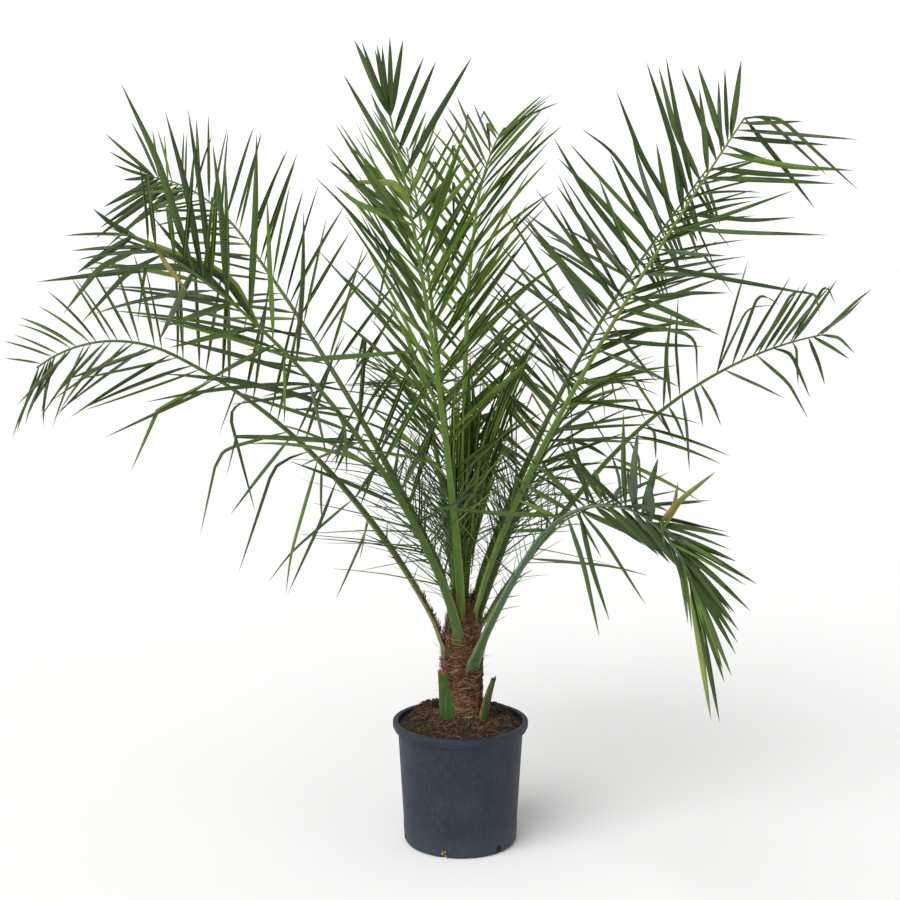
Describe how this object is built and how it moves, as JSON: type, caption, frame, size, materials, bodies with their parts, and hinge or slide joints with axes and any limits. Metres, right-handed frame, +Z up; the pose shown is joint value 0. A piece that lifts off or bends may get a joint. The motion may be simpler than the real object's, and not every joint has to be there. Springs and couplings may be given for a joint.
{
  "type": "potted palm",
  "caption": "Young feather palm in a round plastic nursery pot, with a short fibrous stem and a full crown of arching fronds.",
  "frame": {"origin": "centre of the pot's flat underside, on the floor", "axes": "+Z up, +X to the right in the front view, +Y away from the viewer"},
  "size_m": [2.1793, 1.9729, 1.963],
  "materials": {
    "pot_plastic": "matt, dusty, with a paler worn rim",
    "potting_soil": "loose dark soil with straw and moss",
    "stem_fibre": "matted brown fibre",
    "leaf_base": "satin green rind with a dry cut end",
    "young_leaf": "satin yellow-green leaf",
    "palm_leaf": "satin mid-green leaf, paler along its rib"
  },
  "bodies": {
    "root": {"pot": "pot_plastic", "soil": "potting_soil", "stem": "stem_fibre", "leaf_base_left": "leaf_base", "leaf_base_right": "leaf_base", "leaf_base_front": "leaf_base", "spear_centre": "young_leaf", "spear_right": "young_leaf", "frond_left_low": "palm_leaf", "frond_left_low_tip": "palm_leaf", "frond_left_back": "palm_leaf", "frond_left_front": "palm_leaf", "frond_front_tall": "palm_leaf", "frond_back_tall": "palm_leaf", "frond_back_right": "palm_leaf", "frond_back_low": "palm_leaf", "frond_right_high": "palm_leaf", "frond_right_back": "palm_leaf", "frond_right_mid": "palm_leaf", "frond_right_low": "palm_leaf", "frond_right_low_tip": "palm_leaf", "frond_back_right_low": "palm_leaf"}
  },
  "joints": []
}
